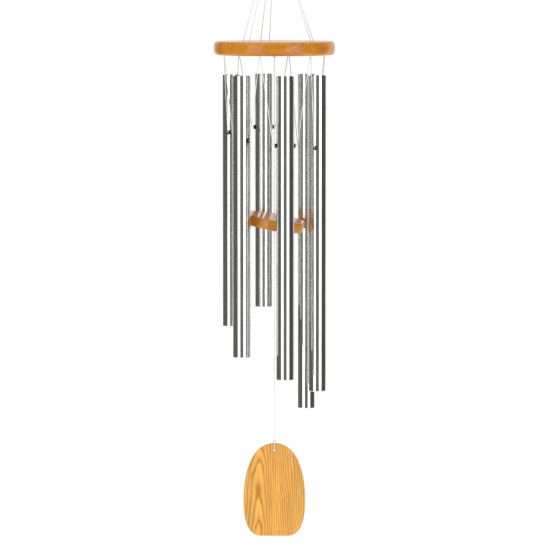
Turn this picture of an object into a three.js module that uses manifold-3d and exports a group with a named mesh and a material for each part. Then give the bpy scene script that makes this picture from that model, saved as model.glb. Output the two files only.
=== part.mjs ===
// Wind chime: six tuned tubes laced under a round wooden platform, with a wooden clapper
// and an egg-shaped wooden sail on the centre cord. Millimetres, +Z up. The origin is the
// point where a hook bears on the inside of the hanging ring. The front faces -Y.
import * as THREE from 'three';
import { mergeVertices } from 'three/addons/utils/BufferGeometryUtils.js';
import Module from 'manifold-3d';

const wasm = await Module();
wasm.setup();

// ---- Driving dimensions ----
const GAP = 0.3;                      // clearance between touching pieces
const CORD_DIAMETER = 1.4;
const CORD_RADIUS = CORD_DIAMETER / 2;
const CORD_SIDES = 8;
const CORD_BEND_RADIUS = 2 * CORD_DIAMETER;

const RING_RADIUS = 17.4;               // hanging ring, to the middle of its wire
const RING_WIRE_RADIUS = 1.6;
const RING_CENTRE_Z = RING_WIRE_RADIUS - RING_RADIUS;
const APEX_KNOT_RADIUS = 3.8;
const APEX_KNOT_HEIGHT = 5.5;
const APEX_KNOT_BELOW_RING = 0.8;
const APEX_KNOT_TOP_Z = RING_CENTRE_Z - RING_RADIUS - RING_WIRE_RADIUS - APEX_KNOT_BELOW_RING;
const APEX_KNOT_BOTTOM_Z = APEX_KNOT_TOP_Z - APEX_KNOT_HEIGHT;

const PLATFORM_RADIUS = 97;
const PLATFORM_THICKNESS = 22;
const PLATFORM_TOP_Z = -220;
const PLATFORM_BOTTOM_Z = PLATFORM_TOP_Z - PLATFORM_THICKNESS;
const PLATFORM_EDGE_ROUND = 6;
const SUPPORT_RADIUS = 62;            // where the suspension cords pass through the platform
const SUPPORT_HALF_SPACING = 7.2;
const CORD_HOLE_RADIUS = CORD_RADIUS + 0.4;
const TURN_SLOT_DEPTH = 4.4;          // under the platform, where a suspension cord turns back
const TURN_RUN_DEPTH = 1.3;           // from the platform's underside to the cord's middle
const KNOT_HOLE_RADIUS = 2.2;
const KNOT_RECESS_RADIUS = 3.8;
const KNOT_RECESS_DEPTH = 4.6;

const TUBE_COUNT = 6;
const TUBE_STEP = (2 * Math.PI) / TUBE_COUNT;
const TUBE_RADIUS = 14.3;
const TUBE_WALL = 1.65;
const TUBE_END_BEVEL = 0.4;
const TUBE_CIRCLE_RADIUS = 71.8;
const TUBE_TOP_Z = PLATFORM_BOTTOM_Z - 32;
const TUBE_LENGTHS = [540, 505, 482, 448, 404, 377];   // lowest note first, round the circle
const LONGEST_TUBE_ANGLE = THREE.MathUtils.degToRad(133.8);
const SUPPORT_HOLE_FRACTION = 0.228;               // just under the tube's node of vibration
const LACING_CIRCLE_RADIUS = TUBE_CIRCLE_RADIUS / Math.cos(TUBE_STEP / 2);
const LACING_HALF_CHORD = LACING_CIRCLE_RADIUS * Math.sin(TUBE_STEP / 2);
const STRAND_OFFSET_IN_HOLE = CORD_RADIUS + GAP / 2;

const GROMMET_FLANGE_RADIUS = 3.6;
const GROMMET_FLANGE_THICKNESS = 2.2;
const GROMMET_NECK_RADIUS = 1.9;
const GROMMET_BORE_RADIUS = CORD_RADIUS + 0.35;
const GROMMET_SEAT = TUBE_RADIUS + GAP;
const GROMMET_MOUTH = GROMMET_SEAT + GROMMET_FLANGE_THICKNESS;

const CLAPPER_RADIUS = 48;
const CLAPPER_THICKNESS = 16.5;
const CLAPPER_EDGE_ROUND = 2;
const CLAPPER_HOLE_RADIUS = 3.1;
const CLAPPER_CENTRE_Z = -509.5;
const CLAPPER_TILT = THREE.MathUtils.degToRad(10);      // its right side hangs lower
const CLAPPER_NOD = THREE.MathUtils.degToRad(4);        // and its front edge a little
const STOP_KNOT_GAP = 0.6;
const STOP_KNOT_RADIUS = 3;
const SWIVEL_KNOT_RADIUS = 2.4;

const SAIL_TOP_Z = -866;
const SAIL_HEIGHT = 150;
const SAIL_HALF_WIDTH = 49.8;
const SAIL_WIDEST_BELOW_TOP = 93;
const SAIL_FOOT_HALF_WIDTH = 22.5;      // the flat stretch along its foot
const SAIL_THICKNESS = 7;
const SAIL_EDGE_BEVEL = 1.2;
const SAIL_HOLE_BELOW_TOP = 11.6;
const SAIL_HOLE_RADIUS = 2;
const SAIL_KNOT_RADIUS = 2.4;

// ---- Finishes ----
const finishes = {
  aluminium: { color: 0xb4b4b0, roughness: 0.3, metalness: 1 },
  honeyWood: { color: 0xc87d22, roughness: 0.35, metalness: 0 },
  paleAsh: { color: 0xe0a24c, roughness: 0.5, metalness: 0 },
  cord: { color: 0xe4e0d4, roughness: 0.9, metalness: 0 },
  rubber: { color: 0x111111, roughness: 0.6, metalness: 0 },
  steel: { color: 0xc8c8c8, roughness: 0.25, metalness: 1 },
};

// ---- Helpers ----
function positionsOnly(geometry) {
  geometry.deleteAttribute('normal');
  geometry.deleteAttribute('uv');
  return mergeVertices(geometry, 1e-4);
}

function toSolid(geometry) {
  const merged = positionsOnly(geometry);
  const corners = Array.from(merged.index.array);
  const triVerts = [];
  for (let i = 0; i < corners.length; i += 3) {
    const [a, b, c] = corners.slice(i, i + 3);
    if (a !== b && b !== c && c !== a) {
      triVerts.push(a, b, c);
    }
  }
  const mesh = new wasm.Mesh({
    numProp: 3,
    vertProperties: new Float32Array(merged.attributes.position.array),
    triVerts: new Uint32Array(triVerts),
  });
  return new wasm.Manifold(mesh);
}

function toGeometry(solid) {
  const mesh = solid.getMesh();
  const geometry = new THREE.BufferGeometry();
  geometry.setAttribute('position', new THREE.BufferAttribute(mesh.vertProperties, 3));
  geometry.setIndex(new THREE.BufferAttribute(mesh.triVerts, 1));
  geometry.computeVertexNormals();
  return geometry;
}

function piece(name, geometry, finish) {
  const mesh = new THREE.Mesh(geometry, new THREE.MeshStandardMaterial(finishes[finish]));
  mesh.name = name;
  return mesh;
}

// A solid turned about the Z axis from [radius, height] points that run up its outside.
function turned(profile, segments) {
  const points = profile.map(([radius, height]) => new THREE.Vector2(radius, height));
  return new THREE.LatheGeometry(points, segments).rotateX(Math.PI / 2);
}

function upright(radius, bottom, top, segments) {
  return turned([[0, bottom], [radius, bottom], [radius, top], [0, top]], segments);
}

// Points of a round knot or bead, from its bottom pole to its top pole.
function beadProfile(radius, height, centre) {
  const arcs = 6;
  const profile = [];
  for (let i = 0; i <= arcs; i += 1) {
    const angle = -Math.PI / 2 + (i * Math.PI) / arcs;
    const onAxis = i === 0 || i === arcs;
    profile.push([onAxis ? 0 : radius * Math.cos(angle), centre + (height / 2) * Math.sin(angle)]);
  }
  return profile;
}

// A path that steps exactly through its points, so that a straight run costs one step.
class CordPath extends THREE.Curve {
  constructor(points) {
    super();
    this.points = points;
  }

  getPoint(t, target = new THREE.Vector3()) {
    const along = t * (this.points.length - 1);
    const index = Math.min(Math.round(along), this.points.length - 1);
    return target.copy(this.points[index]);
  }

  getPointAt(u, target) {
    return this.getPoint(u, target);
  }

  getTangentAt(u, target = new THREE.Vector3()) {
    const last = this.points.length - 1;
    const index = Math.round(u * last);
    const here = this.points[index];
    const before = this.points[Math.max(index - 1, 0)];
    const after = this.points[Math.min(index + 1, last)];
    const arriving = here.clone().sub(before).normalize();
    const leaving = after.clone().sub(here).normalize();
    return target.addVectors(arriving, leaving).normalize();
  }
}

function cordAlong(points) {
  const section = new THREE.Shape();
  section.absarc(0, 0, CORD_RADIUS, 0, 2 * Math.PI, false);
  return new THREE.ExtrudeGeometry(section, {
    steps: points.length - 1,
    curveSegments: CORD_SIDES / 2,
    bevelEnabled: false,
    extrudePath: new CordPath(points),
  });
}

// Where a thing stands on a circle: angle 0 is the front, and it grows towards +X.
function onCircle(radius, angle, z) {
  return new THREE.Vector3(radius * Math.sin(angle), -radius * Math.cos(angle), z);
}

// A group whose own X runs along the circle and whose own -Y points outwards.
function standAt(radius, angle, members) {
  const group = new THREE.Group();
  group.position.copy(onCircle(radius, angle, 0));
  group.rotation.z = angle;
  group.add(...members);
  return group;
}

function tubeAngle(index) {
  return LONGEST_TUBE_ANGLE - index * TUBE_STEP;
}

function supportHoleZ(index) {
  return TUBE_TOP_Z - SUPPORT_HOLE_FRACTION * TUBE_LENGTHS[index];
}

// ---- Hanging ring and suspension ----
function hangingRing() {
  const ring = new THREE.TorusGeometry(RING_RADIUS, RING_WIRE_RADIUS, 8, 30);
  ring.rotateX(Math.PI / 2);
  ring.translate(0, 0, RING_CENTRE_Z);
  return piece('hanging_ring', ring, 'steel');
}

function hangingKnot() {
  const loopRadius = RING_WIRE_RADIUS + GAP + CORD_RADIUS;
  const loop = new THREE.TorusGeometry(loopRadius, CORD_RADIUS, 8, 14);
  loop.rotateY(Math.PI / 2);
  loop.translate(0, 0, RING_CENTRE_Z - RING_RADIUS);
  const middle = (APEX_KNOT_TOP_Z + APEX_KNOT_BOTTOM_Z) / 2;
  const knot = turned(beadProfile(APEX_KNOT_RADIUS, APEX_KNOT_HEIGHT, middle), 16);
  return piece('hanging_knot', toGeometry(toSolid(knot).add(toSolid(loop))), 'cord');
}

// One cord goes down through one hole, along a slot under the platform and up through the next.
function suspensionCord(name, angle) {
  const fromAxis = 1.9;                 // the cords leave the knot side by side
  const fromTwin = 1;
  const startZ = APEX_KNOT_BOTTOM_Z - GAP;
  const holeMouthZ = PLATFORM_TOP_Z + 1;
  const bendStartZ = PLATFORM_BOTTOM_Z + TURN_RUN_DEPTH + CORD_BEND_RADIUS;
  const bendSteps = 4;
  const oneSide = [
    new THREE.Vector3(fromTwin, SUPPORT_RADIUS - fromAxis, startZ),
    new THREE.Vector3(SUPPORT_HALF_SPACING, 0, holeMouthZ),
  ];
  for (let i = 0; i <= bendSteps; i += 1) {
    const bend = (i * Math.PI) / 2 / bendSteps;
    const x = SUPPORT_HALF_SPACING - CORD_BEND_RADIUS * (1 - Math.cos(bend));
    oneSide.push(new THREE.Vector3(x, 0, bendStartZ - CORD_BEND_RADIUS * Math.sin(bend)));
  }
  const otherSide = oneSide.map((point) => new THREE.Vector3(-point.x, point.y, point.z)).reverse();
  const cord = piece(name, cordAlong([...oneSide, ...otherSide]), 'cord');
  return standAt(SUPPORT_RADIUS, angle, [cord]);
}

// ---- Platform ----
function roundedDiscProfile(radius, bottom, top, edge, roundness) {
  const arcs = 8;
  const half = (top - bottom) / 2;
  const profile = [[0, bottom]];
  for (let i = 0; i <= arcs; i += 1) {
    const angle = -Math.PI / 2 + (i * Math.PI) / arcs;
    const outward = Math.abs(Math.cos(angle)) ** roundness;
    const upward = Math.sign(Math.sin(angle)) * Math.abs(Math.sin(angle)) ** roundness;
    profile.push([radius - edge + edge * outward, bottom + half + half * upward]);
  }
  profile.push([0, top]);
  return profile;
}

function cordHole(radius, x, y) {
  const margin = 5;
  const drill = upright(radius, PLATFORM_BOTTOM_Z - margin, PLATFORM_TOP_Z + margin, 8);
  return toSolid(drill.translate(x, y, 0));
}

function knotHole(x, y) {
  const floor = PLATFORM_TOP_Z - KNOT_RECESS_DEPTH;
  const recess = upright(KNOT_RECESS_RADIUS, floor, PLATFORM_TOP_Z + 1, 12);
  return cordHole(KNOT_HOLE_RADIUS, x, y).add(toSolid(recess.translate(x, y, 0)));
}

function turnSlot(centre, angle) {
  const length = 2 * (SUPPORT_HALF_SPACING + CORD_HOLE_RADIUS);
  const slot = new THREE.BoxGeometry(length, 2 * CORD_HOLE_RADIUS, 2 * TURN_SLOT_DEPTH);
  slot.rotateZ(angle).translate(centre.x, centre.y, PLATFORM_BOTTOM_Z);
  return toSolid(slot);
}

function platform() {
  const roundness = 0.8;
  const profile = roundedDiscProfile(
    PLATFORM_RADIUS, PLATFORM_BOTTOM_Z, PLATFORM_TOP_Z, PLATFORM_EDGE_ROUND, roundness);
  let board = toSolid(turned(profile, 56)).subtract(knotHole(0, 0));
  for (let i = 0; i < TUBE_COUNT; i += 1) {
    const hole = onCircle(LACING_CIRCLE_RADIUS, lacingAngle(i), 0);
    board = board.subtract(knotHole(hole.x, hole.y));
  }
  for (const angle of supportAngles()) {
    const centre = onCircle(SUPPORT_RADIUS, angle, 0);
    board = board.subtract(turnSlot(centre, angle));
    for (const side of [-1, 1]) {
      const x = centre.x + side * SUPPORT_HALF_SPACING * Math.cos(angle);
      const y = centre.y + side * SUPPORT_HALF_SPACING * Math.sin(angle);
      board = board.subtract(cordHole(CORD_HOLE_RADIUS, x, y));
    }
  }
  return piece('platform', toGeometry(board), 'honeyWood');
}

function supportAngles() {
  return [tubeAngle(1), tubeAngle(3), tubeAngle(5)];
}

// ---- Lacing, which hangs each tube from the two holes beside it ----
function lacingAngle(index) {
  return tubeAngle(index) - TUBE_STEP / 2;
}

// A knot in its recess, with two strands of cord running down through the platform.
function knotWithTail(name, x, y) {
  const tailRadius = KNOT_HOLE_RADIUS - GAP;
  const knotRadius = KNOT_RECESS_RADIUS - GAP;
  const floor = PLATFORM_TOP_Z - KNOT_RECESS_DEPTH + GAP;
  const shoulder = 1.2;
  const top = PLATFORM_TOP_Z - GAP;
  const profile = [
    [0, PLATFORM_BOTTOM_Z],
    [tailRadius, PLATFORM_BOTTOM_Z],
    [tailRadius, floor],
    [knotRadius - shoulder, floor],
    [knotRadius, floor + shoulder],
    [knotRadius, top - shoulder],
    [knotRadius - shoulder, top],
    [0, top],
  ];
  return piece(name, turned(profile, 12).translate(x, y, 0), 'cord');
}

function lacingKnot(index) {
  const hole = onCircle(LACING_CIRCLE_RADIUS, lacingAngle(index), 0);
  return knotWithTail(`lacing_knot_${index + 1}`, hole.x, hole.y);
}

// The sling runs from one hole, through both grommets of its tube, to the next hole.
function sling(index) {
  const bendSteps = 4;
  const holeZ = supportHoleZ(index);
  const topX = LACING_HALF_CHORD - STRAND_OFFSET_IN_HOLE;
  const topZ = PLATFORM_BOTTOM_Z - GAP - CORD_RADIUS;
  const bendX = GROMMET_MOUTH + GAP;
  const bendZ = holeZ + CORD_BEND_RADIUS;
  const rise = Math.atan2(topZ - bendZ, topX - bendX - CORD_BEND_RADIUS);
  const oneSide = [];
  for (let i = 0; i <= bendSteps; i += 1) {
    const bend = (i * rise) / bendSteps;
    const x = bendX + CORD_BEND_RADIUS * Math.sin(bend);
    oneSide.push(new THREE.Vector3(x, 0, bendZ - CORD_BEND_RADIUS * Math.cos(bend)));
  }
  oneSide.push(new THREE.Vector3(topX, 0, topZ));
  const otherSide = oneSide.map((point) => new THREE.Vector3(-point.x, 0, point.z)).reverse();
  return piece(`sling_${index + 1}`, cordAlong([...otherSide, ...oneSide]), 'cord');
}

// ---- Tubes and grommets ----
function tube(index) {
  const segments = 32;
  const bottom = TUBE_TOP_Z - TUBE_LENGTHS[index];
  const inner = TUBE_RADIUS - TUBE_WALL;
  const profile = [
    [inner, bottom],
    [TUBE_RADIUS - TUBE_END_BEVEL, bottom],
    [TUBE_RADIUS, bottom + TUBE_END_BEVEL],
    [TUBE_RADIUS, TUBE_TOP_Z - TUBE_END_BEVEL],
    [TUBE_RADIUS - TUBE_END_BEVEL, TUBE_TOP_Z],
    [inner, TUBE_TOP_Z],
    [inner, bottom],
  ];
  const drill = upright(GROMMET_NECK_RADIUS + GAP, -2 * TUBE_RADIUS, 2 * TUBE_RADIUS, 12);
  drill.rotateY(Math.PI / 2).translate(0, 0, supportHoleZ(index));
  const body = toSolid(turned(profile, segments)).subtract(toSolid(drill));
  return piece(`tube_${index + 1}`, toGeometry(body), 'aluminium');
}

function grommet(index, sideName, side) {
  const inside = TUBE_RADIUS - TUBE_WALL - GAP;
  const bevel = 0.6;
  const profile = [
    [GROMMET_BORE_RADIUS, inside],
    [GROMMET_NECK_RADIUS, inside],
    [GROMMET_NECK_RADIUS, GROMMET_SEAT],
    [GROMMET_FLANGE_RADIUS, GROMMET_SEAT],
    [GROMMET_FLANGE_RADIUS, GROMMET_MOUTH - bevel],
    [GROMMET_FLANGE_RADIUS - bevel, GROMMET_MOUTH],
    [GROMMET_BORE_RADIUS, GROMMET_MOUTH],
    [GROMMET_BORE_RADIUS, inside],
  ];
  const body = turned(profile, 12).rotateY((side * Math.PI) / 2).translate(0, 0, supportHoleZ(index));
  return piece(`grommet_${index + 1}_${sideName}`, body, 'rubber');
}

function tubeSet(index) {
  return standAt(TUBE_CIRCLE_RADIUS, tubeAngle(index), [
    sling(index),
    tube(index),
    grommet(index, 'left', -1),
    grommet(index, 'right', 1),
  ]);
}

// ---- Centre cord, clapper and sail ----
function straightCord(name, top, bottom) {
  const points = [new THREE.Vector3(0, 0, top), new THREE.Vector3(0, 0, bottom)];
  return piece(name, cordAlong(points), 'cord');
}

function roundKnot(name, radius, centre) {
  return piece(name, turned(beadProfile(radius, 2 * radius, centre), 12), 'cord');
}

function clapper() {
  const half = CLAPPER_THICKNESS / 2;
  const roundness = 0.35;
  const profile = roundedDiscProfile(CLAPPER_RADIUS, -half, half, CLAPPER_EDGE_ROUND, roundness);
  const drill = upright(CLAPPER_HOLE_RADIUS, -CLAPPER_THICKNESS, CLAPPER_THICKNESS, 16);
  const body = toSolid(turned(profile, 40)).subtract(toSolid(drill));
  const disc = piece('clapper', toGeometry(body), 'honeyWood');
  disc.rotation.set(CLAPPER_NOD, CLAPPER_TILT, 0);
  disc.position.z = CLAPPER_CENTRE_Z;
  return disc;
}

// The sail's egg outline, from its top down the left side, along its foot and up the right.
function sailOutline() {
  const outline = new THREE.Shape();
  const wide = SAIL_HALF_WIDTH - SAIL_EDGE_BEVEL;
  const top = -SAIL_EDGE_BEVEL;
  const foot = SAIL_EDGE_BEVEL - SAIL_HEIGHT;
  const widest = -SAIL_WIDEST_BELOW_TOP;
  const crown = 0.88 * SAIL_HALF_WIDTH;
  const shoulder = 0.3 * SAIL_WIDEST_BELOW_TOP;
  const belly = 0.51 * SAIL_WIDEST_BELOW_TOP;
  const corner = 1.5 * SAIL_FOOT_HALF_WIDTH;
  outline.moveTo(0, top);
  outline.bezierCurveTo(-crown, top, -wide, widest + shoulder, -wide, widest);
  outline.bezierCurveTo(-wide, widest - belly, -corner, foot, -SAIL_FOOT_HALF_WIDTH, foot);
  outline.lineTo(SAIL_FOOT_HALF_WIDTH, foot);
  outline.bezierCurveTo(corner, foot, wide, widest - belly, wide, widest);
  outline.bezierCurveTo(wide, widest + shoulder, crown, top, 0, top);
  return outline;
}

function sail() {
  const board = new THREE.ExtrudeGeometry(sailOutline(), {
    depth: SAIL_THICKNESS - 2 * SAIL_EDGE_BEVEL,
    curveSegments: 14,
    bevelThickness: SAIL_EDGE_BEVEL,
    bevelSize: SAIL_EDGE_BEVEL,
    bevelSegments: 2,
  });
  board.translate(0, 0, SAIL_EDGE_BEVEL - SAIL_THICKNESS / 2);
  const drill = upright(SAIL_HOLE_RADIUS, -SAIL_THICKNESS, SAIL_THICKNESS, 12);
  drill.translate(0, -SAIL_HOLE_BELOW_TOP, 0);
  const body = toSolid(board).subtract(toSolid(drill));
  const geometry = toGeometry(body).rotateX(Math.PI / 2).translate(0, 0, SAIL_TOP_Z);
  return piece('sail', geometry, 'paleAsh');
}

// The loop that ties the sail on: down the front, back through the hole and up again.
function sailLoop() {
  const bendSteps = 4;
  const faceY = SAIL_THICKNESS / 2 + GAP + CORD_RADIUS;
  const restsAbove = SAIL_HOLE_RADIUS - CORD_RADIUS - 0.4;
  const holeZ = SAIL_TOP_Z - SAIL_HOLE_BELOW_TOP + restsAbove;
  const knotZ = SAIL_TOP_Z + GAP + SAIL_KNOT_RADIUS;
  const besideKnot = SAIL_KNOT_RADIUS + GAP + CORD_RADIUS / 2;
  const bend = 1.2;
  const front = [
    new THREE.Vector3(0, -besideKnot, knotZ),
    new THREE.Vector3(0, -faceY, SAIL_TOP_Z - GAP),
  ];
  for (let i = 0; i <= bendSteps; i += 1) {
    const angle = (i * Math.PI) / 2 / bendSteps;
    const y = -faceY + bend * (1 - Math.cos(angle));
    front.push(new THREE.Vector3(0, y, holeZ + bend - bend * Math.sin(angle)));
  }
  const back = front.map((point) => new THREE.Vector3(0, -point.y, point.z)).reverse();
  return piece('sail_loop', cordAlong([...front, ...back]), 'cord');
}

function centreLine() {
  const line = new THREE.Group();
  const swivelCentreZ = PLATFORM_BOTTOM_Z - GAP - SWIVEL_KNOT_RADIUS;
  const stopTopZ = CLAPPER_CENTRE_Z - CLAPPER_THICKNESS / 2 / Math.cos(CLAPPER_TILT) - STOP_KNOT_GAP;
  const stopCentreZ = stopTopZ - STOP_KNOT_RADIUS;
  const sailKnotZ = SAIL_TOP_Z + GAP + SAIL_KNOT_RADIUS;
  line.add(
    knotWithTail('centre_knot', 0, 0),
    roundKnot('swivel_knot', SWIVEL_KNOT_RADIUS, swivelCentreZ),
    straightCord('clapper_cord', swivelCentreZ - SWIVEL_KNOT_RADIUS - GAP, stopTopZ + GAP / 2),
    clapper(),
    roundKnot('stop_knot', STOP_KNOT_RADIUS, stopCentreZ),
    straightCord('sail_cord', stopCentreZ - STOP_KNOT_RADIUS - GAP, sailKnotZ + SAIL_KNOT_RADIUS + GAP),
    roundKnot('sail_knot', SAIL_KNOT_RADIUS, sailKnotZ),
    sailLoop(),
    sail(),
  );
  return line;
}

// ---- Assembly ----
function windChime() {
  const chime = new THREE.Group();
  chime.add(hangingRing(), hangingKnot(), platform(), centreLine());
  const cordNames = ['suspension_cord_right', 'suspension_cord_left', 'suspension_cord_back'];
  supportAngles().forEach((angle, i) => chime.add(suspensionCord(cordNames[i], angle)));
  for (let i = 0; i < TUBE_COUNT; i += 1) {
    chime.add(tubeSet(i), lacingKnot(i));
  }
  return chime;
}

export default windChime();
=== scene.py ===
"""Looks of the wind chime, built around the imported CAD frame.

Metres, +Z up, front towards -Y, origin where a hook bears on the hanging ring.
The camera and the cords come first, then the knots, the wood, the metal and the studio.
"""
import math

import bmesh
import bpy
from mathutils import Euler, Matrix, Vector


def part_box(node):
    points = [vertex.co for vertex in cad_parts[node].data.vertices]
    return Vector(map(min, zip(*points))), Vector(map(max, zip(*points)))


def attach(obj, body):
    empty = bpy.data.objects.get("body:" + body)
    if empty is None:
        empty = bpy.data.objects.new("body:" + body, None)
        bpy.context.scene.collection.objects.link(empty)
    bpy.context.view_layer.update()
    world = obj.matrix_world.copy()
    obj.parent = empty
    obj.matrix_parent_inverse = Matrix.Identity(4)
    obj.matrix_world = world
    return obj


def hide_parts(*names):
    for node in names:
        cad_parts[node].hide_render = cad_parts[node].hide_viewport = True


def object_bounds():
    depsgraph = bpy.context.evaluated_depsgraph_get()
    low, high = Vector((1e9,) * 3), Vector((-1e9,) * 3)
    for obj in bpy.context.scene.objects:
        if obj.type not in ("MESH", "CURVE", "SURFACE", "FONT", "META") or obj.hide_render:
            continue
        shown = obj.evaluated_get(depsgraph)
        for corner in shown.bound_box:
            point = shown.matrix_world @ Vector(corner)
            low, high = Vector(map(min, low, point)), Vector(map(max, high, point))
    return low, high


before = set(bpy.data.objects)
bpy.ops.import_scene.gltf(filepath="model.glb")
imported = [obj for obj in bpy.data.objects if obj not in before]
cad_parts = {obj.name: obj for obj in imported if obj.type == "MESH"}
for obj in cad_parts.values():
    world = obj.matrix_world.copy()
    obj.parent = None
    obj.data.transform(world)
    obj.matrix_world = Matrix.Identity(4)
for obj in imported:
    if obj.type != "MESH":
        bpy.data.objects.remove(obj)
cad_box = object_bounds()

MM = 0.001
TUBE_COUNT = 6
TUBE_STEP = 2 * math.pi / TUBE_COUNT

# ---- Sizes that the cords and fittings share with the CAD source ----
GAP = 0.3 * MM
CORD_DIAMETER = 1.4 * MM
CORD_RADIUS = CORD_DIAMETER / 2
CORD_BEND_RADIUS = 2 * CORD_DIAMETER
STRAND_OFFSET_IN_HOLE = CORD_RADIUS + GAP / 2
SUPPORT_RADIUS = 62 * MM
SUPPORT_HALF_SPACING = 7.2 * MM
APEX_KNOT_RADIUS = 3.8 * MM
TURN_SLOT_DEPTH = 4.4 * MM
TURN_RUN_DEPTH = 1.3 * MM
TUBE_RADIUS = 14.3 * MM
TUBE_WALL = 1.65 * MM
GROMMET_MOUTH = 16.8 * MM
GROMMET_FLANGE_RADIUS = 3.6 * MM
GROMMET_NECK_RADIUS = 1.9 * MM
TUBE_CIRCLE_RADIUS = 71.8 * MM
LACING_CIRCLE_RADIUS = TUBE_CIRCLE_RADIUS / math.cos(TUBE_STEP / 2)
LACING_HALF_CHORD = LACING_CIRCLE_RADIUS * math.sin(TUBE_STEP / 2)
KNOT_HOLE_RADIUS = 2.2 * MM
KNOT_RECESS_RADIUS = 3.8 * MM
KNOT_RECESS_DEPTH = 4.6 * MM
CLAPPER_RADIUS = 48 * MM
CLAPPER_THICKNESS = 16.5 * MM
CLAPPER_HOLE_RADIUS = 3.1 * MM
CLAPPER_CENTRE_Z = -509.5 * MM
CLAPPER_TILT = math.radians(10)
CLAPPER_NOD = math.radians(4)
SAIL_HOLE_BELOW_TOP = 11.6 * MM
SAIL_HOLE_RADIUS = 2 * MM
SAIL_WIDEST_BELOW_TOP = 93 * MM
SAIL_FOOT_HALF_WIDTH = 22.5 * MM


def box_centre(node):
    low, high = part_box(node)
    return (low + high) / 2


PLATFORM_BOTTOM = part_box("platform")[0].z
PLATFORM_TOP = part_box("platform")[1].z
PLATFORM_RADIUS = 97 * MM
RING_CENTRE = box_centre("hanging_ring")
RING_WIRE_RADIUS = (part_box("hanging_ring")[1].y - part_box("hanging_ring")[0].y) / 2
RING_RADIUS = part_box("hanging_ring")[1].x - RING_WIRE_RADIUS
SAIL_LOW, SAIL_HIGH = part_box("sail")


# ---- Camera: a long lens in front, a little above the platform ----
def make_camera():
    distance = 6.39
    eye_height = -0.0883
    data = bpy.data.cameras.new("camera")
    data.sensor_width = 36
    data.lens = 261.6
    camera = bpy.data.objects.new("camera", data)
    camera.location = (0.001, -distance, eye_height)
    camera.rotation_euler = (math.radians(90 - 4.53), 0, 0)
    bpy.context.scene.collection.objects.link(camera)
    bpy.context.scene.camera = camera


# ---- Node and material helpers ----
def linear(red, green, blue):
    """A colour given as 0-255 sRGB, as the linear values that shaders use."""
    def one(value):
        share = value / 255
        return share / 12.92 if share <= 0.04045 else ((share + 0.055) / 1.055) ** 2.4
    return (one(red), one(green), one(blue), 1)


def add_node(tree, kind, inputs=None, **settings):
    node = tree.nodes.new(kind)
    for key, value in settings.items():
        setattr(node, key, value)
    for key, value in (inputs or {}).items():
        if isinstance(value, bpy.types.NodeSocket):
            tree.links.new(value, node.inputs[key])
        else:
            node.inputs[key].default_value = value
    return node


def add_math(tree, operation, first, second=0.0):
    return add_node(tree, "ShaderNodeMath", {0: first, 1: second}, operation=operation).outputs[0]


def add_noise(tree, vector, scale, detail=3, roughness=0.5):
    inputs = {"Vector": vector, "Scale": scale, "Detail": detail, "Roughness": roughness}
    return add_node(tree, "ShaderNodeTexNoise", inputs).outputs["Fac"]


def add_stretch(tree, vector, scale):
    """The point with each axis scaled, so that a pattern is drawn out along the smallest."""
    return add_node(tree, "ShaderNodeMapping", {"Vector": vector, "Scale": scale}).outputs[0]


def add_mix(tree, share, first, second, blend_type="MIX"):
    node = add_node(tree, "ShaderNodeMix", data_type="RGBA", blend_type=blend_type)
    for socket, value in ((node.inputs[0], share), (node.inputs[6], first), (node.inputs[7], second)):
        if isinstance(value, bpy.types.NodeSocket):
            tree.links.new(value, socket)
        else:
            socket.default_value = value
    return node.outputs[2]


def add_ramp(tree, value, stops):
    ramp = add_node(tree, "ShaderNodeValToRGB", {"Fac": value})
    elements = ramp.color_ramp.elements
    while len(elements) < len(stops):
        elements.new(0.5)
    for element, (position, colour) in zip(elements, stops):
        element.position = position
        element.color = colour
    return ramp.outputs["Color"]


def add_bump(tree, height, distance, strength=1.0):
    inputs = {"Height": height, "Distance": distance, "Strength": strength}
    return add_node(tree, "ShaderNodeBump", inputs).outputs["Normal"]


def new_material(name):
    material = bpy.data.materials.new(name)
    material.use_nodes = True
    tree = material.node_tree
    tree.nodes.clear()
    shader = add_node(tree, "ShaderNodeBsdfPrincipled")
    output = add_node(tree, "ShaderNodeOutputMaterial")
    tree.links.new(shader.outputs[0], output.inputs["Surface"])
    place = add_node(tree, "ShaderNodeTexCoord").outputs["Object"]
    return material, tree, shader, place


def plug_in(tree, shader, **sockets):
    for key, value in sockets.items():
        socket = shader.inputs[key.replace("_", " ")]
        if isinstance(value, bpy.types.NodeSocket):
            tree.links.new(value, socket)
        else:
            socket.default_value = value


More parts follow.
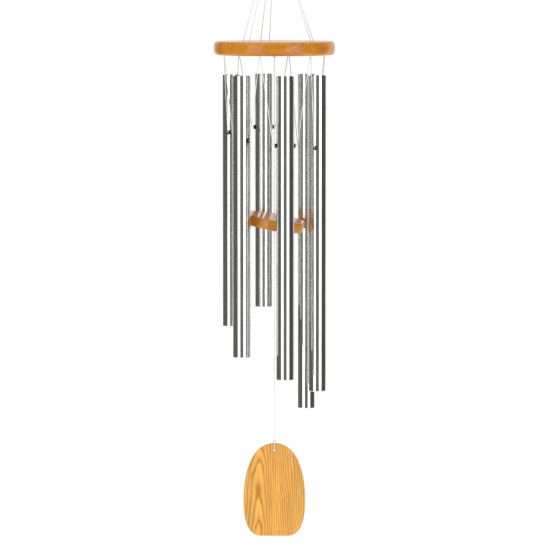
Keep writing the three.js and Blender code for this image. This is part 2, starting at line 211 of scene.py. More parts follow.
# ---- Materials ----
def wood(name, grain_axis, ring_centre, taper, ring_width, colours, finish):
    """Plain-sawn ash. Growth rings are cones about a line along the grain: cut by a face they
    show as arches near the line and as straight grain away from it."""
    material, tree, shader, place = new_material(name)
    dark, middle, light = colours
    moved = add_node(tree, "ShaderNodeVectorMath", {0: place, 1: ring_centre}, operation="SUBTRACT")
    split = add_node(tree, "ShaderNodeSeparateXYZ", {0: moved.outputs[0]})
    across_axes = [axis for axis in "XYZ" if axis != grain_axis]
    across, depth = (split.outputs[axis] for axis in across_axes)
    along = split.outputs[grain_axis]
    drifting_grain, long_grain, fibre_grain = (
        tuple(share if axis == grain_axis else 1.0 for axis in "XYZ") for share in (0.35, 0.12, 0.03))

    depth = add_math(tree, "ADD", depth, add_math(tree, "MULTIPLY", along, taper))
    squares = add_math(tree, "ADD", add_math(tree, "MULTIPLY", across, across),
                       add_math(tree, "MULTIPLY", depth, depth))
    distance = add_math(tree, "SQRT", squares)
    wander = add_noise(tree, add_stretch(tree, place, drifting_grain), 22, 2)
    ragged = add_noise(tree, add_stretch(tree, place, long_grain), 240, 3)
    rings = add_math(tree, "DIVIDE", distance, ring_width)
    rings = add_math(tree, "ADD", rings, add_math(tree, "MULTIPLY", wander, finish["wander"]))
    rings = add_math(tree, "ADD", rings, add_math(tree, "MULTIPLY", ragged, 0.45))
    ring = add_math(tree, "FRACT", rings)
    ring_colour = add_ramp(tree, ring, [
        (0.0, dark), (0.12, middle), (0.38, light), (0.80, light), (0.93, middle), (1.0, dark)])

    fibre = add_noise(tree, add_stretch(tree, place, fibre_grain), 1500, 3, 0.6)
    fibre_shade = add_ramp(tree, fibre, [(0.36, (0.74, 0.66, 0.55, 1)), (0.6, (1, 1, 1, 1))])
    colour = add_mix(tree, 0.75, ring_colour, fibre_shade, "MULTIPLY")
    cloud = add_noise(tree, add_stretch(tree, place, long_grain), 60, 3)
    cloud_shade = add_ramp(tree, cloud, [(0.3, (0.78, 0.7, 0.6, 1)), (0.62, (1.06, 1.06, 1.06, 1))])
    colour = add_mix(tree, finish["cloudiness"], colour, cloud_shade, "MULTIPLY")

    fibre_relief = add_math(tree, "MULTIPLY", fibre, 0.6)
    relief = add_math(tree, "ADD", fibre_relief, add_math(tree, "MULTIPLY", ring, 0.4))
    roughness = add_node(tree, "ShaderNodeMapRange", {
        "Value": fibre, "To Min": finish["roughness"] + 0.1, "To Max": finish["roughness"] - 0.05})
    plug_in(
        tree, shader, Base_Color=colour, Roughness=roughness.outputs[0],
        Normal=add_bump(tree, relief, finish["relief"]))
    shader.inputs["Coat Weight"].default_value = finish["coat"]
    shader.inputs["Coat Roughness"].default_value = finish["coat_roughness"]
    shader.inputs["Specular IOR Level"].default_value = finish["specular"]
    return material


def aluminium(name):
    """Drawn and polished tube: nearly a mirror, with fine draw lines and faint handling marks."""
    material, tree, shader, place = new_material(name)
    drawn = add_noise(tree, add_stretch(tree, place, (1, 1, 0.01)), 1400, 2)
    smudge = add_noise(tree, add_stretch(tree, place, (1, 1, 0.35)), 55, 4)
    tone = add_ramp(tree, smudge, [(0.3, linear(226, 226, 222)), (0.7, linear(240, 240, 238))])
    roughness = add_math(tree, "ADD", add_math(tree, "MULTIPLY", drawn, 0.03),
                         add_math(tree, "MULTIPLY", smudge, 0.04))
    roughness = add_math(tree, "ADD", roughness, 0.03)
    plug_in(tree, shader, Base_Color=tone, Metallic=1.0, Roughness=roughness)
    return material


def steel(name):
    """Bright zinc-plated wire."""
    material, tree, shader, place = new_material(name)
    grain = add_noise(tree, place, 900, 4)
    patch = add_noise(tree, place, 120, 3)
    tone = add_ramp(tree, patch, [(0.35, linear(176, 176, 172)), (0.65, linear(214, 214, 212))])
    roughness = add_math(tree, "ADD", add_math(tree, "MULTIPLY", grain, 0.2), 0.12)
    plug_in(tree, shader, Base_Color=tone, Metallic=1.0, Roughness=roughness,
            Normal=add_bump(tree, grain, 0.02 * MM))
    return material


def rubber(name):
    """Moulded black vinyl, a little dusty."""
    material, tree, shader, place = new_material(name)
    dust = add_noise(tree, place, 700, 4)
    pebble = add_noise(tree, place, 4000, 2)
    tone = add_ramp(tree, dust, [(0.4, linear(10, 10, 10)), (0.8, linear(30, 29, 28))])
    roughness = add_math(tree, "ADD", add_math(tree, "MULTIPLY", dust, 0.3), 0.38)
    shader.inputs["Specular IOR Level"].default_value = 0.25
    plug_in(tree, shader, Base_Color=tone, Roughness=roughness, Normal=add_bump(tree, pebble, 0.02 * MM))
    return material


def cord_fibre(name):
    """White polyester cord: bright filaments with dirt and shade between them."""
    material, tree, shader, place = new_material(name)
    filament = add_noise(tree, place, 6000, 3, 0.7)
    soil = add_noise(tree, place, 90, 3)
    bright = add_ramp(tree, filament, [(0.3, linear(196, 198, 198)), (0.65, linear(238, 240, 240))])
    tone = add_mix(tree, add_math(tree, "MULTIPLY", soil, 0.3), bright, linear(204, 205, 202))
    plug_in(tree, shader, Base_Color=tone, Roughness=0.72, Normal=add_bump(tree, filament, 0.05 * MM))
    shader.inputs["Sheen Weight"].default_value = 0.35
    shader.inputs["Sheen Roughness"].default_value = 0.4
    return material


def make_materials():
    honey = (linear(180, 108, 2), linear(190, 119, 4), linear(199, 129, 6))
    ash = (linear(172, 110, 34), linear(206, 147, 60), linear(228, 173, 86))
    gloss = dict(
        cloudiness=1.0, wander=4.5, roughness=0.34, relief=0.03 * MM,
        coat=0.5, coat_roughness=0.08, specular=0.3)
    satin = dict(
        cloudiness=0.6, wander=5.0, roughness=0.48, relief=0.04 * MM,
        coat=0.1, coat_roughness=0.3, specular=0.3)
    platform_rings = Vector((-0.030, 0.06, PLATFORM_BOTTOM - 70 * MM))
    clapper_rings = Vector((0.0, 0.05, CLAPPER_CENTRE_Z - 60 * MM))
    sail_rings = Vector((-27 * MM, -12 * MM, SAIL_LOW.z))
    return {
        "platform": wood("honey_wood_platform", "X", platform_rings, 0.10, 5.0 * MM, honey, gloss),
        "clapper": wood("honey_wood_clapper", "X", clapper_rings, 0.16, 4.6 * MM, honey, gloss),
        "sail": wood("pale_ash", "Z", sail_rings, 0.10, 3.4 * MM, ash, satin),
        "tube": aluminium("tube_metal"),
        "steel": steel("steel"),
        "rubber": rubber("rubber"),
        "cord": cord_fibre("cord"),
    }


# ---- Mesh helpers ----
def add_piece(name, mesh, material, body, replaced=(), sharp_degrees=40):
    mesh.materials.clear()
    mesh.materials.append(material)
    mesh.shade_smooth()
    mesh.set_sharp_from_angle(angle=math.radians(sharp_degrees))
    piece = bpy.data.objects.new(name, mesh)
    bpy.context.scene.collection.objects.link(piece)
    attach(piece, body)
    if replaced:
        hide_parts(*replaced)
    return piece


def mesh_from(name, points, faces):
    mesh = bpy.data.meshes.new(name)
    mesh.from_pydata([tuple(point) for point in points], [], faces)
    mesh.update()
    return mesh


def turned(name, profile, segments, place=Matrix.Identity(4)):
    """A solid turned about Z. The profile runs up the outside, from axis to axis, or closes on itself."""
    points, rings = [], []
    for radius, height in profile:
        if radius < 1e-9:
            rings.append([len(points)] * segments)
            points.append(Vector((0, 0, height)))
            continue
        rings.append(list(range(len(points), len(points) + segments)))
        for i in range(segments):
            angle = 2 * math.pi * i / segments
            points.append(Vector((radius * math.cos(angle), radius * math.sin(angle), height)))
    if profile[0][0] > 1e-9:
        rings.append(rings[0])
    faces = []
    for low, high in zip(rings, rings[1:]):
        for i in range(segments):
            j = (i + 1) % segments
            corners = [low[i], low[j], high[j], high[i]]
            corners = [c for n, c in enumerate(corners) if c != corners[n - 1]]
            faces.append(corners)
    return mesh_from(name, [place @ point for point in points], faces)


def disc_profile(radius, bottom, top, edge, roundness, steps):
    half = (top - bottom) / 2
    profile = [(0, bottom)]
    for i in range(steps + 1):
        angle = -math.pi / 2 + math.pi * i / steps
        outward = abs(math.cos(angle)) ** roundness
        upward = math.copysign(abs(math.sin(angle)) ** roundness, math.sin(angle))
        profile.append((radius - edge + edge * outward, bottom + half + half * upward))
    profile.append((0, top))
    return profile


def drill(radius, bottom, top, countersink, place, segments=32):
    """A cutter for a hole whose two mouths, at bottom and top, are eased by a small countersink."""
    beyond = 2 * MM
    profile = [
        (0, bottom - beyond),
        (radius + countersink + beyond, bottom - beyond),
        (radius, bottom + countersink),
        (radius, top - countersink),
        (radius + countersink + beyond, top + beyond),
        (0, top + beyond),
    ]
    return turned("drill", profile, segments, place)


def joined(name, meshes):
    """One mesh that holds several closed ones."""
    shape = bmesh.new()
    for mesh in meshes:
        shape.from_mesh(mesh)
    whole = bpy.data.meshes.new(name)
    shape.to_mesh(whole)
    shape.free()
    return whole


def carved(mesh, cutters):
    """The mesh with every cutter taken out of it."""
    body = bpy.data.objects.new("carved", mesh)
    tool = bpy.data.objects.new("tool", joined("tool", cutters))
    for item in (body, tool):
        bpy.context.scene.collection.objects.link(item)
    cut = body.modifiers.new("cut", "BOOLEAN")
    cut.operation = "DIFFERENCE"
    cut.solver = "EXACT"
    cut.object = tool
    bpy.context.view_layer.update()
    done = bpy.data.meshes.new_from_object(body.evaluated_get(bpy.context.evaluated_depsgraph_get()))
    bpy.data.objects.remove(body)
    bpy.data.objects.remove(tool)
    return done


def standing_at(radius, angle):
    """Own X along the circle and own -Y outwards, at an angle counted from the front to +X."""
    place = Vector((radius * math.sin(angle), -radius * math.cos(angle), 0))
    return Matrix.Translation(place) @ Matrix.Rotation(angle, 4, "Z")


def tube_angle(index):
    centre = box_centre(f"tube_{index}")
    return math.atan2(centre.x, -centre.y)


# ---- Cord geometry ----
def spaced_path(points, step):
    """The same route in even steps."""
    lengths = [(b - a).length for a, b in zip(points, points[1:])]
    total = sum(lengths)
    count = max(2, round(total / step))
    result, index, passed = [], 0, 0.0
    for i in range(count + 1):
        target = total * i / count
        while index < len(lengths) - 1 and passed + lengths[index] < target:
            passed += lengths[index]
            index += 1
        share = min(1.0, (target - passed) / lengths[index])
        result.append(points[index].lerp(points[index + 1], share))
    return result


def carried_frames(path):
    """A direction square to the path at each point, carried along without twisting."""
    frames = []
    tangent = (path[1] - path[0]).normalized()
    normal = tangent.orthogonal().normalized()
    for i, _ in enumerate(path):
        ahead = path[min(i + 1, len(path) - 1)]
        behind = path[max(i - 1, 0)]
        new_tangent = (ahead - behind).normalized()
        normal = tangent.rotation_difference(new_tangent) @ normal
        normal = (normal - new_tangent * normal.dot(new_tangent)).normalized()
        tangent = new_tangent
        frames.append((normal, tangent.cross(normal)))
    return frames


def laid_cord(name, points, diameter=CORD_DIAMETER, step=0.45 * MM, lay_length=4.2 * MM):
    """Three strands twisted together, as one closed skin with a spiral groove between strands."""
    strands, sides = 3, 15
    path = spaced_path(points, step)
    frames = carried_frames(path)
    vertices, faces = [], []
    travelled = 0.0
    for i, centre in enumerate(path):
        if i:
            travelled += (centre - path[i - 1]).length
        twist = 2 * math.pi * travelled / lay_length
        normal, side = frames[i]
        end_taper = 0.8 if i in (0, len(path) - 1) else 1.0
        for k in range(sides):
            angle = 2 * math.pi * k / sides
            crest = abs(math.cos(strands * angle / 2))
            radius = end_taper * diameter / 2 * (0.80 + 0.20 * crest ** 0.7)
            turn = angle + twist
            vertices.append(centre + radius * (normal * math.cos(turn) + side * math.sin(turn)))
    for i in range(len(path) - 1):
        for k in range(sides):
            j = (k + 1) % sides
            a, b = i * sides, (i + 1) * sides
            faces.append([a + k, a + j, b + j, b + k])
    faces.append(list(range(sides))[::-1])
    last = (len(path) - 1) * sides
    faces.append(list(range(last, last + sides)))
    return mesh_from(name, vertices, faces), path


def tight_knot(centre, radius, height):
    """Centreline of an overhand knot drawn tight: a trefoil that fits the given bead."""
    steps = 90
    widest_lobe = 3.0
    across = (radius - CORD_RADIUS) / widest_lobe
    up = height / 2 - CORD_RADIUS
    points = []
    for i in range(steps + 1):
        t = 2 * math.pi * i / steps
        x = math.sin(t) + 2 * math.sin(2 * t)
        y = math.cos(t) - 2 * math.cos(2 * t)
        z = -math.sin(3 * t)
        points.append(centre + Vector((across * x, across * y, up * z)))
    return points


def wrapped(centre_x, centre_y, radius, bottom, top, turns):
    """Centreline of cord wound round a bundle, turn beside turn."""
    steps = 24 * turns
    points = []
    for i in range(steps + 1):
        angle = 2 * math.pi * turns * i / steps
        x = centre_x + radius * math.cos(angle)
        y = centre_y + radius * math.sin(angle)
        points.append(Vector((x, y, bottom + (top - bottom) * i / steps)))
    return points


# ---- Cords ----
def suspension_points(angle):
    """Down from the top knot through one hole, under the platform and back up by the next."""
    place = standing_at(SUPPORT_RADIUS, angle)
    start_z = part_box("hanging_knot")[0].z - GAP
    bend = CORD_BEND_RADIUS
    bend_start = PLATFORM_BOTTOM + TURN_RUN_DEPTH + bend
    bend_steps = 8
    side = [
        Vector((1 * MM, SUPPORT_RADIUS - 1.9 * MM, start_z)),
        Vector((SUPPORT_HALF_SPACING, 0, PLATFORM_TOP + 1 * MM)),
    ]
    for i in range(bend_steps + 1):
        turn = math.pi / 2 * i / bend_steps
        x = SUPPORT_HALF_SPACING - bend * (1 - math.cos(turn))
        side.append(Vector((x, 0, bend_start - bend * math.sin(turn))))
    other = [Vector((-p.x, p.y, p.z)) for p in reversed(side)]
    return [place @ point for point in side + other]


def sling_points(index):
    """From one platform hole, through both grommets of the tube, to the next hole."""
    place = standing_at(TUBE_CIRCLE_RADIUS, tube_angle(index))
    hole_z = box_centre(f"grommet_{index}_left").z
    top_x = LACING_HALF_CHORD - STRAND_OFFSET_IN_HOLE
    top_z = PLATFORM_BOTTOM - GAP - CORD_RADIUS
    bend_x = GROMMET_MOUTH + GAP
    bend_z = hole_z + CORD_BEND_RADIUS
    rise = math.atan2(top_z - bend_z, top_x - bend_x - CORD_BEND_RADIUS)
    bend_steps = 8
    side = []
    for i in range(bend_steps + 1):
        turn = rise * i / bend_steps
        x = bend_x + CORD_BEND_RADIUS * math.sin(turn)
        side.append(Vector((x, 0, bend_z - CORD_BEND_RADIUS * math.cos(turn))))
    side.append(Vector((top_x, 0, top_z)))
    other = [Vector((-p.x, 0, p.z)) for p in reversed(side)]
    return [place @ point for point in other + side]


def add_cord(name, points, body, material, replaced):
    mesh, path = laid_cord(name, points)
    piece = add_piece(name, mesh, material, body, replaced, sharp_degrees=80)
    return piece


def make_cords(material):
    supports = {"right": 2, "left": 4, "back": 6}
    for side, tube_index in supports.items():
        name = f"suspension_cord_{side}"
        add_cord(f"{name}_laid", suspension_points(tube_angle(tube_index)), "platform", material, [name])
    for index in range(1, TUBE_COUNT + 1):
        name = f"sling_{index}"
        add_cord(f"{name}_laid", sling_points(index), name, material, [name])
    for name, body in (("clapper_cord", "clapper_line"), ("sail_cord", "sail_line")):
        low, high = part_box(name)
        points = [Vector((0, 0, high.z + GAP)), Vector((0, 0, low.z - GAP))]
        add_cord(f"{name}_laid", points, body, material, [name])


# ---- Knots ----
def add_knot(name, routes, body, material, replaced):
    meshes = [laid_cord(name, points, step=0.35 * MM)[0] for points in routes]
    return add_piece(name, joined(name, meshes), material, body, replaced, sharp_degrees=80)


def strand(x, y, top, bottom):
    return [Vector((x, y, top)), Vector((x, y, (top + bottom) / 2)), Vector((x, y, bottom))]


def make_hanging_knot(material):
    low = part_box("hanging_knot")[0]
    wire_z = RING_CENTRE.z - RING_RADIUS
    loop_radius = RING_WIRE_RADIUS + GAP + CORD_RADIUS
    wrap_top = wire_z - loop_radius - 0.4 * MM
    routes = []
    for x in (-1.5 * MM, 0, 1.5 * MM):
        loop = [Vector((x * 0.6, -1.3 * MM, wrap_top - 5 * MM))]
        for i in range(25):
            angle = math.radians(-60 + 300 * i / 24)
            loop.append(Vector((x, -loop_radius * math.cos(angle), wire_z + loop_radius * math.sin(angle))))
        loop.append(Vector((x * 0.6, 1.3 * MM, wrap_top - 5 * MM)))
        routes.append(loop)
    routes.append(wrapped(0, 0, APEX_KNOT_RADIUS - CORD_RADIUS, low.z + CORD_RADIUS, wrap_top, 4))
    for i in range(TUBE_COUNT):
        angle = math.radians(30 + 60 * i)
        radius = 1.6 * MM
        x, y = radius * math.sin(angle), -radius * math.cos(angle)
        routes.append(strand(x, y, wrap_top - 2 * MM, low.z - 0.6 * MM))
    add_knot("hanging_knot_wrapped", routes, "hanging_knot", material, ["hanging_knot"])


def knot_with_tails(name, x, y, tangent, material, replaced):
    """A tight knot in its recess, with the two strands that run down through the platform."""
    radius = KNOT_RECESS_RADIUS - GAP
    height = 3.4 * MM
    middle = PLATFORM_TOP - KNOT_RECESS_DEPTH + GAP + height / 2
    routes = [tight_knot(Vector((x, y, middle)), radius, height)]
    for side in (-1, 1):
        offset = tangent * side * STRAND_OFFSET_IN_HOLE
        routes.append(strand(x + offset.x, y + offset.y, middle, PLATFORM_BOTTOM - GAP))
    end = Vector((x, y, middle)) + tangent * radius * 0.4
    tip = end + tangent * 1.2 * MM + Vector((0, 0, height / 2 + 0.6 * MM))
    routes.append([end, end + Vector((0, 0, height / 2)), tip])
    add_knot(name, routes, "platform", material, replaced)


def make_knots(material):
    make_hanging_knot(material)
    for index in range(1, TUBE_COUNT + 1):
        centre = box_centre(f"lacing_knot_{index}")
        outward = Vector((centre.x, centre.y, 0)).normalized()
        tangent = Vector((-outward.y, outward.x, 0))
        knot_with_tails(f"lacing_knot_{index}_tied", centre.x, centre.y, tangent, material,
                        [f"lacing_knot_{index}"])
    knot_with_tails("centre_knot_tied", 0, 0, Vector((1, 0, 0)), material, ["centre_knot"])
    bodies = {"swivel_knot": "clapper_gimbal", "stop_knot": "clapper_line", "sail_knot": "sail"}
    for name, body in bodies.items():
        low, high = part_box(name)
        centre, radius = (low + high) / 2, (high.x - low.x) / 2
        through = strand(0, 0, high.z + GAP, low.z - GAP)
        routes = [tight_knot(centre, radius, high.z - low.z), through]
        add_knot(f"{name}_tied", routes, body, material, [name])
    make_sail_loop(material)


def make_sail_loop(material):
    face_y = SAIL_HIGH.y + GAP + CORD_RADIUS
    hole_z = SAIL_HIGH.z - SAIL_HOLE_BELOW_TOP + SAIL_HOLE_RADIUS - CORD_RADIUS - 0.4 * MM
    knot = box_centre("sail_knot")
    bend = 1.2 * MM
    front = [Vector((0, -1.2 * MM, knot.z)), Vector((0, -face_y * 0.75, SAIL_HIGH.z + 1.2 * MM))]
    front.append(Vector((0, -face_y, SAIL_HIGH.z - 1 * MM)))
    for i in range(7):
        angle = math.pi / 2 * i / 6
        y = -face_y + bend * (1 - math.cos(angle))
        front.append(Vector((0, y, hole_z + bend - bend * math.sin(angle))))
    back = [Vector((0, -p.y, p.z)) for p in reversed(front)]
    add_knot("sail_loop_laid", [front + back], "sail", material, ["sail_loop"])


# ---- Wood ----
def turn_slot(stand, half_width):
    """A round-ended slot in the platform's underside, where a suspension cord turns back."""
    steps = 10
    outline = []
    for side in (1, -1):
        for i in range(steps + 1):
            angle = side * math.pi / 2 - math.pi * i / steps
            x = side * SUPPORT_HALF_SPACING + half_width * math.cos(angle)
            outline.append((x, half_width * math.sin(angle)))
    count = len(outline)
    floor, mouth = PLATFORM_BOTTOM + TURN_SLOT_DEPTH, PLATFORM_BOTTOM - 2 * MM
    points = [stand @ Vector((x, y, z)) for z in (mouth, floor) for x, y in outline]
    faces = [[i, (i + 1) % count, (i + 1) % count + count, i + count] for i in range(count)]
    faces += [list(range(count)), list(range(count, 2 * count))]
    return outward_facing(mesh_from("slot", points, faces))


def make_platform(material):
    profile = disc_profile(PLATFORM_RADIUS, PLATFORM_BOTTOM, PLATFORM_TOP, 6 * MM, 0.8, 28)
    cutters = []
    ease = 0.35 * MM
    recess_floor = PLATFORM_TOP - KNOT_RECESS_DEPTH
    centres = [Vector((0, 0, 0))]
    centres += [box_centre(f"lacing_knot_{i}") for i in range(1, TUBE_COUNT + 1)]
    for centre in centres:
        place = Matrix.Translation((centre.x, centre.y, 0))
        cutters.append(drill(KNOT_HOLE_RADIUS, PLATFORM_BOTTOM, PLATFORM_TOP, ease, place))
        recess_from = recess_floor + 2 * MM + ease
        cutters.append(drill(KNOT_RECESS_RADIUS, recess_from, PLATFORM_TOP, ease, place, 40))
    hole_radius = CORD_RADIUS + 0.4 * MM
    for tube_index in (2, 4, 6):
        stand = standing_at(SUPPORT_RADIUS, tube_angle(tube_index))
        cutters.append(turn_slot(stand, hole_radius))
        for side in (-1, 1):
            place = stand @ Matrix.Translation((side * SUPPORT_HALF_SPACING, 0, 0))
            cutters.append(drill(hole_radius, PLATFORM_BOTTOM, PLATFORM_TOP, ease, place, 24))
    board = turned("platform_board", profile, 160)
    for cutter in cutters:
        board = carved(board, [cutter])
    add_piece("platform_board", board, material, "platform", ["platform"])


def make_clapper(material):
    half = CLAPPER_THICKNESS / 2
    lean = Euler((CLAPPER_NOD, CLAPPER_TILT, 0)).to_matrix().to_4x4()
    place = Matrix.Translation((0, 0, CLAPPER_CENTRE_Z)) @ lean
    profile = disc_profile(CLAPPER_RADIUS, -half, half, 2 * MM, 0.35, 24)
    disc = turned("clapper_disc", profile, 128, place)
    disc = carved(disc, [drill(CLAPPER_HOLE_RADIUS, -half, half, 0.6 * MM, place)])
    add_piece("clapper_disc", disc, material, "clapper", ["clapper"])


def bezier(start, first, second, end, steps):
    points = []
    for i in range(steps):
        t = i / steps
        s = 1 - t
        points.append(start * s ** 3 + first * 3 * s * s * t + second * 3 * s * t * t + end * t ** 3)
    return points


def sail_outline(inset):
    """The egg outline in X and Z, drawn in by inset, from its top round by the left side."""
    steps = 28
    half_width = SAIL_HIGH.x
    height = SAIL_HIGH.z - SAIL_LOW.z
    wide = half_width - inset
    top, foot, widest = -inset, inset - height, -SAIL_WIDEST_BELOW_TOP
    crown = 0.88 * half_width
    shoulder = 0.3 * SAIL_WIDEST_BELOW_TOP
    belly = 0.51 * SAIL_WIDEST_BELOW_TOP
    corner = 1.5 * SAIL_FOOT_HALF_WIDTH
    apex, side = Vector((0, 0, top)), Vector((-wide, 0, widest))
    foot_left = Vector((-SAIL_FOOT_HALF_WIDTH, 0, foot))
    foot_right = Vector((SAIL_FOOT_HALF_WIDTH, 0, foot))
    left = bezier(apex, Vector((-crown, 0, top)), side + Vector((0, 0, shoulder)), side, steps)
    left += bezier(side, side - Vector((0, 0, belly)), Vector((-corner, 0, foot)), foot_left, steps)
    foot_line = [foot_left.lerp(foot_right, i / 12) for i in range(12)]
    right = [Vector((-p.x, 0, p.z)) for p in reversed(left[1:])]
    return left + foot_line + [foot_right] + right


def make_sail(material):
    """A flat board with an egg outline, its edge rounded over, and a drilled hole."""
    half = SAIL_HIGH.y
    round_over = 1.9 * MM
    steps = 6
    section = []
    for i in range(steps + 1):
        angle = math.pi / 2 * i / steps
        section.append((round_over * (1 - math.sin(angle)), -half + round_over * (1 - math.cos(angle))))
    section += [(inset, -y) for inset, y in reversed(section)]
    vertices, rings = [], []
    for inset, y in section:
        outline = sail_outline(inset)
        rings.append(range(len(vertices), len(vertices) + len(outline)))
        vertices += [Vector((p.x, y, p.z + SAIL_HIGH.z)) for p in outline]
    count = len(rings[0])
    faces = []
    for low, high in zip(rings, rings[1:]):
        for i in range(count):
            j = (i + 1) % count
            faces.append([low[i], low[j], high[j], high[i]])
    faces.append(list(rings[0])[::-1])
    faces.append(list(rings[-1]))
    board = mesh_from("sail_board", vertices, faces)
    board = outward_facing(board)
    hole_centre = Matrix.Translation((0, 0, SAIL_HIGH.z - SAIL_HOLE_BELOW_TOP))
    hole = hole_centre @ Matrix.Rotation(math.pi / 2, 4, "X")
    board = carved(board, [drill(SAIL_HOLE_RADIUS, -half, half, 0.4 * MM, hole)])
    add_piece("sail_board", board, material, "sail", ["sail"])


def outward_facing(mesh):
    shape = bmesh.new()
    shape.from_mesh(mesh)
    bmesh.ops.recalc_face_normals(shape, faces=shape.faces)
    shape.to_mesh(mesh)
    shape.free()
    return mesh


# ---- Metal and rubber ----
def make_tube(index, material):
    low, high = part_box(f"tube_{index}")
    radius, inner = TUBE_RADIUS, TUBE_RADIUS - TUBE_WALL
    ease, hold = 0.35 * MM, 0.5 * MM
    half_ring = [
        (inner, ease + 2 * hold),
        (inner, ease + hold),
        (inner, ease),
        (inner + 0.3 * ease, 0.3 * ease),
        (inner + ease, 0),
        (radius - ease, 0),
        (radius - 0.3 * ease, 0.3 * ease),
        (radius, ease),
        (radius, ease + hold),
        (radius, ease + 2 * hold),
    ]
    profile = [(r, low.z + up) for r, up in half_ring]
    profile += [(r, high.z - up) for r, up in reversed(half_ring)]
    stand = standing_at(TUBE_CIRCLE_RADIUS, tube_angle(index))
    body = turned(f"tube_{index}_drawn", profile, 96, stand)
    hole_z = box_centre(f"grommet_{index}_left").z
    across = stand @ Matrix.Translation((0, 0, hole_z)) @ Matrix.Rotation(math.pi / 2, 4, "Y")
    bore = GROMMET_NECK_RADIUS + GAP
    reach = 2 * radius
    pin = turned("pin", [(0, -reach), (bore, -reach), (bore, reach), (0, reach)], 24, across)
    body = carved(body, [pin])
    add_piece(f"tube_{index}_drawn", body, material, f"tube_{index}", [f"tube_{index}"])


def make_grommet(index, side_name, side, material):
    bore, neck, flange = CORD_RADIUS + 0.35 * MM, GROMMET_NECK_RADIUS, GROMMET_FLANGE_RADIUS
    inside = TUBE_RADIUS - TUBE_WALL - GAP
    seat = TUBE_RADIUS + 0.12 * MM
    mouth = GROMMET_MOUTH
    profile = [(bore, inside), (neck, inside), (neck, seat)]
    profile += [(flange - 0.2 * MM, seat), (flange, seat + 0.25 * MM)]
    crown = 6
    for i in range(crown + 1):
        angle = math.pi / 2 * i / crown
        profile.append((bore + 0.5 * MM + (flange - bore - 0.5 * MM) * math.cos(angle),
                        mouth - 1.1 * MM + 1.1 * MM * math.sin(angle)))
    profile.append((bore, mouth - 0.35 * MM))
    hole_z = box_centre(f"grommet_{index}_left").z
    stand = standing_at(TUBE_CIRCLE_RADIUS, tube_angle(index))
    place = stand @ Matrix.Translation((0, 0, hole_z)) @ Matrix.Rotation(side * math.pi / 2, 4, "Y")
    name = f"grommet_{index}_{side_name}"
    mesh = turned(f"{name}_moulded", profile, 32, place)
    add_piece(f"{name}_moulded", mesh, material, f"tube_{index}", [name])


def make_ring(material):
    """A round wire ring closed by a small butt weld."""
    around, section = 120, 24
    vertices, faces = [], []
    weld_angle, weld_width, weld_bulge = math.radians(140), math.radians(5), 0.10
    for i in range(around):
        angle = 2 * math.pi * i / around
        near_weld = math.exp(-((angle - weld_angle) / weld_width) ** 2)
        wire = RING_WIRE_RADIUS * (1 + weld_bulge * near_weld)
        outward = Vector((math.cos(angle), 0, math.sin(angle)))
        for k in range(section):
            turn = 2 * math.pi * k / section
            point = RING_CENTRE + outward * (RING_RADIUS + wire * math.cos(turn))
            vertices.append(point + Vector((0, wire * math.sin(turn), 0)))
    for i in range(around):
        for k in range(section):
            a, b = i * section, (i + 1) % around * section
            j = (k + 1) % section
            faces.append([a + k, b + k, b + j, a + j])
    ring = outward_facing(mesh_from("hanging_ring_wire", vertices, faces))
    add_piece("hanging_ring_wire", ring, material, "hanging_ring", ["hanging_ring"])


# ---- Studio ----
def plain_material(name, colour, glow=0.0):
    material, tree, shader, _ = new_material(name)
    plug_in(tree, shader, Base_Color=colour, Roughness=0.9)
    shader.inputs["Emission Color"].default_value = colour
    shader.inputs["Emission Strength"].default_value = glow
    return material


def make_floor():
    reach, drop = 12.0, 0.22
    z = cad_box[0].z - drop
    signs = ((-1, -1), (1, -1), (1, 1), (-1, 1))
    corners = [Vector((x * reach, y * reach, z)) for x, y in signs]
    floor = bpy.data.objects.new("floor", mesh_from("floor", corners, [[0, 1, 2, 3]]))
    floor.data.materials.append(plain_material("floor", (0.92, 0.92, 0.91, 1), 0.12))
    bpy.context.scene.collection.objects.link(floor)


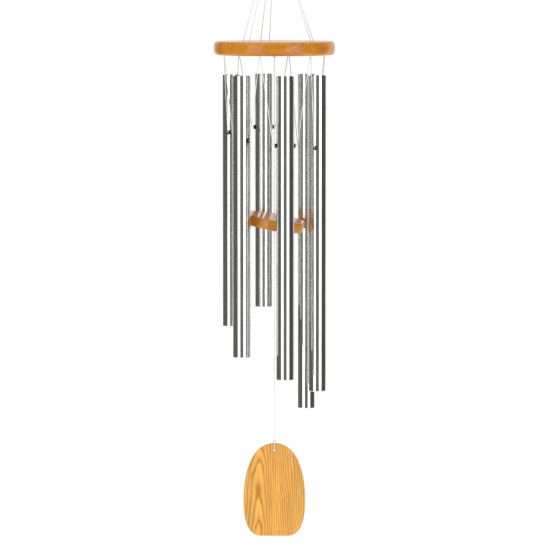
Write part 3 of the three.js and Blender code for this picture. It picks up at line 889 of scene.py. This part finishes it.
def make_dark_card(name, from_degrees, to_degrees, glow):
    """A tall dark flag beside the object. Only the polished surfaces see it."""
    radius, steps = 2.4, 8
    low, high = cad_box[0].z - 0.2, cad_box[1].z + 1.2
    vertices, faces = [], []
    for i in range(steps + 1):
        angle = math.radians(from_degrees + (to_degrees - from_degrees) * i / steps)
        for z in (low, high):
            vertices.append(Vector((radius * math.sin(angle), -radius * math.cos(angle), z)))
    for i in range(steps):
        faces.append([2 * i, 2 * i + 2, 2 * i + 3, 2 * i + 1])
    card = bpy.data.objects.new(name, mesh_from(name, vertices, faces))
    card.data.materials.append(plain_material(name, (glow, glow, 0.97 * glow, 1), 1.0))
    bpy.context.scene.collection.objects.link(card)
    card.visible_camera = False
    card.visible_diffuse = False
    card.visible_shadow = False
    card.visible_transmission = False


def make_softbox(name, degrees, radiance, width):
    distance, height = 2.6, 2.2
    angle = math.radians(degrees)
    centre = Vector((distance * math.sin(angle), -distance * math.cos(angle), -0.35))
    light = bpy.data.lights.new(name, "AREA")
    light.shape = "RECTANGLE"
    light.size = width
    light.size_y = height
    light.energy = radiance * math.pi * width * height
    box = bpy.data.objects.new(name, light)
    box.location = centre
    aim = Vector((0, 0, -0.5)) - centre
    box.rotation_euler = aim.to_track_quat("-Z", "Y").to_euler()
    box.visible_camera = False
    bpy.context.scene.collection.objects.link(box)


def make_studio():
    world = bpy.data.worlds.new("studio")
    world.use_nodes = True
    background = world.node_tree.nodes["Background"]
    background.inputs["Color"].default_value = (1, 1, 1, 1)
    background.inputs["Strength"].default_value = 1.0
    bpy.context.scene.world = world
    bpy.context.scene.view_settings.view_transform = "Standard"
    make_floor()
    make_dark_card("flag_front", -22, 20, 0.07)
    make_dark_card("flag_left", -142, -52, 0.05)
    make_dark_card("flag_right", 51, 124, 0.03)
    make_softbox("softbox_left", -36, 1.7, 1.2)
    make_softbox("softbox_right", 36, 1.9, 1.2)


# ---- Assembly ----
make_camera()
materials = make_materials()
make_cords(materials["cord"])
make_knots(materials["cord"])
make_platform(materials["platform"])
make_clapper(materials["clapper"])
make_sail(materials["sail"])
for tube_number in range(1, TUBE_COUNT + 1):
    make_tube(tube_number, materials["tube"])
    for grommet_side, direction in (("left", -1), ("right", 1)):
        make_grommet(tube_number, grommet_side, direction, materials["rubber"])
make_ring(materials["steel"])
make_studio()
